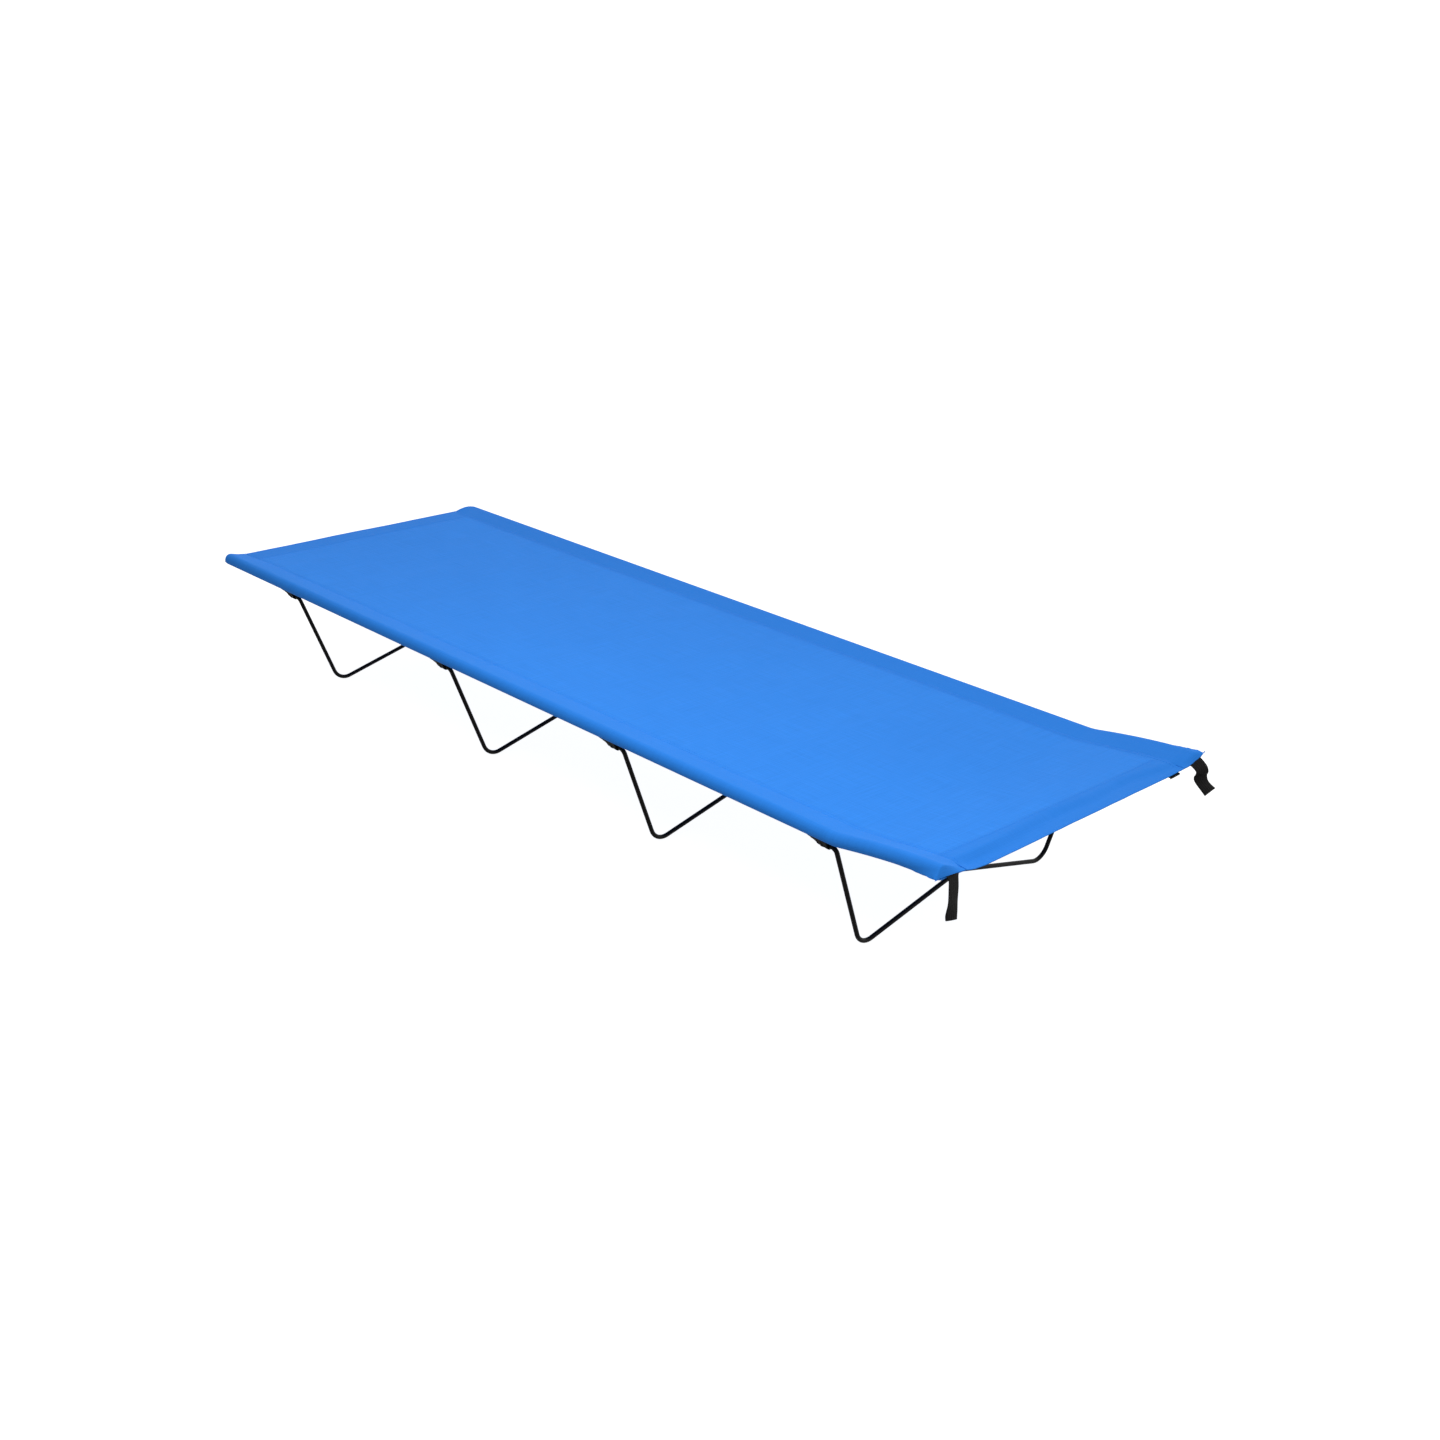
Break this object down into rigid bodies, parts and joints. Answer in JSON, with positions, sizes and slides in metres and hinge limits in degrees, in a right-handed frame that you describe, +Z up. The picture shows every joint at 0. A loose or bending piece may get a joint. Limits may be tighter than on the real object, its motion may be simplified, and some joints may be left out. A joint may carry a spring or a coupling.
{
  "type": "camping cot",
  "caption": "Low folding camp bed: a cloth sling with sleeved side poles, a raised head end and webbing pull tabs, standing on bent-wire legs held in moulded clips.",
  "frame": {"origin": "on the floor, in the middle of the overall length and width", "axes": "+X runs along the bed from its foot end to its raised head end, +Y across it from the near side to the far side of the picture, +Z up"},
  "size_m": [1.8354, 0.6, 0.2263],
  "materials": {
    "sling_cloth": "closely woven mid-blue nylon cloth with a faint sheen",
    "coated_steel": "black powder coat, satin",
    "plain_steel": "plain drawn tube, zinc bright",
    "moulded_plastic": "black moulded nylon, fine matt",
    "webbing": "black ribbed polyester webbing"
  },
  "bodies": {
    "bed": {"sling": "sling_cloth", "pole_near_foot": "coated_steel", "pole_near_middle": "coated_steel", "pole_near_head": "coated_steel", "pole_far_foot": "coated_steel", "pole_far_middle": "coated_steel", "pole_far_head": "coated_steel", "joint_tube_near_1": "plain_steel", "joint_tube_near_2": "plain_steel", "joint_tube_far_1": "plain_steel", "joint_tube_far_2": "plain_steel", "end_plug_near_foot": "moulded_plastic", "end_plug_near_head": "moulded_plastic", "end_plug_far_foot": "moulded_plastic", "end_plug_far_head": "moulded_plastic", "pull_tab_near": "webbing", "pull_tab_far": "webbing"},
    "near_clip_1": {"clip_near_1": "moulded_plastic"},
    "leg_1": {"leg_1": "coated_steel", "clip_far_1": "moulded_plastic"},
    "near_clip_2": {"clip_near_2": "moulded_plastic"},
    "leg_2": {"leg_2": "coated_steel", "clip_far_2": "moulded_plastic"},
    "near_clip_3": {"clip_near_3": "moulded_plastic"},
    "leg_3": {"leg_3": "coated_steel", "clip_far_3": "moulded_plastic"},
    "near_clip_4": {"clip_near_4": "moulded_plastic"},
    "leg_4": {"leg_4": "coated_steel", "clip_far_4": "moulded_plastic"}
  },
  "joints": [
    {"name": "near_clip_1_unhook", "type": "slide", "parent": "bed", "child": "near_clip_1", "axis": [0, 0, 1], "range_m": [-0.03, 0]},
    {"name": "leg_1_swing", "type": "hinge", "parent": "near_clip_1", "child": "leg_1", "pos_m": [-0.66787, -0.2848, 0.1777], "axis": [1, 0, 0], "range_deg": [-90, 0]},
    {"name": "near_clip_2_unhook", "type": "slide", "parent": "bed", "child": "near_clip_2", "axis": [0, 0, 1], "range_m": [-0.03, 0]},
    {"name": "leg_2_swing", "type": "hinge", "parent": "near_clip_2", "child": "leg_2", "pos_m": [-0.19287, -0.2848, 0.1777], "axis": [1, 0, 0], "range_deg": [-90, 0]},
    {"name": "near_clip_3_unhook", "type": "slide", "parent": "bed", "child": "near_clip_3", "axis": [0, 0, 1], "range_m": [-0.03, 0]},
    {"name": "leg_3_swing", "type": "hinge", "parent": "near_clip_3", "child": "leg_3", "pos_m": [0.25012, -0.2848, 0.1777], "axis": [1, 0, 0], "range_deg": [-90, 0]},
    {"name": "near_clip_4_unhook", "type": "slide", "parent": "bed", "child": "near_clip_4", "axis": [0, 0, 1], "range_m": [-0.03, 0]},
    {"name": "leg_4_swing", "type": "hinge", "parent": "near_clip_4", "child": "leg_4", "pos_m": [0.68812, -0.2848, 0.1777], "axis": [1, 0, 0], "range_deg": [-90, 0]}
  ]
}
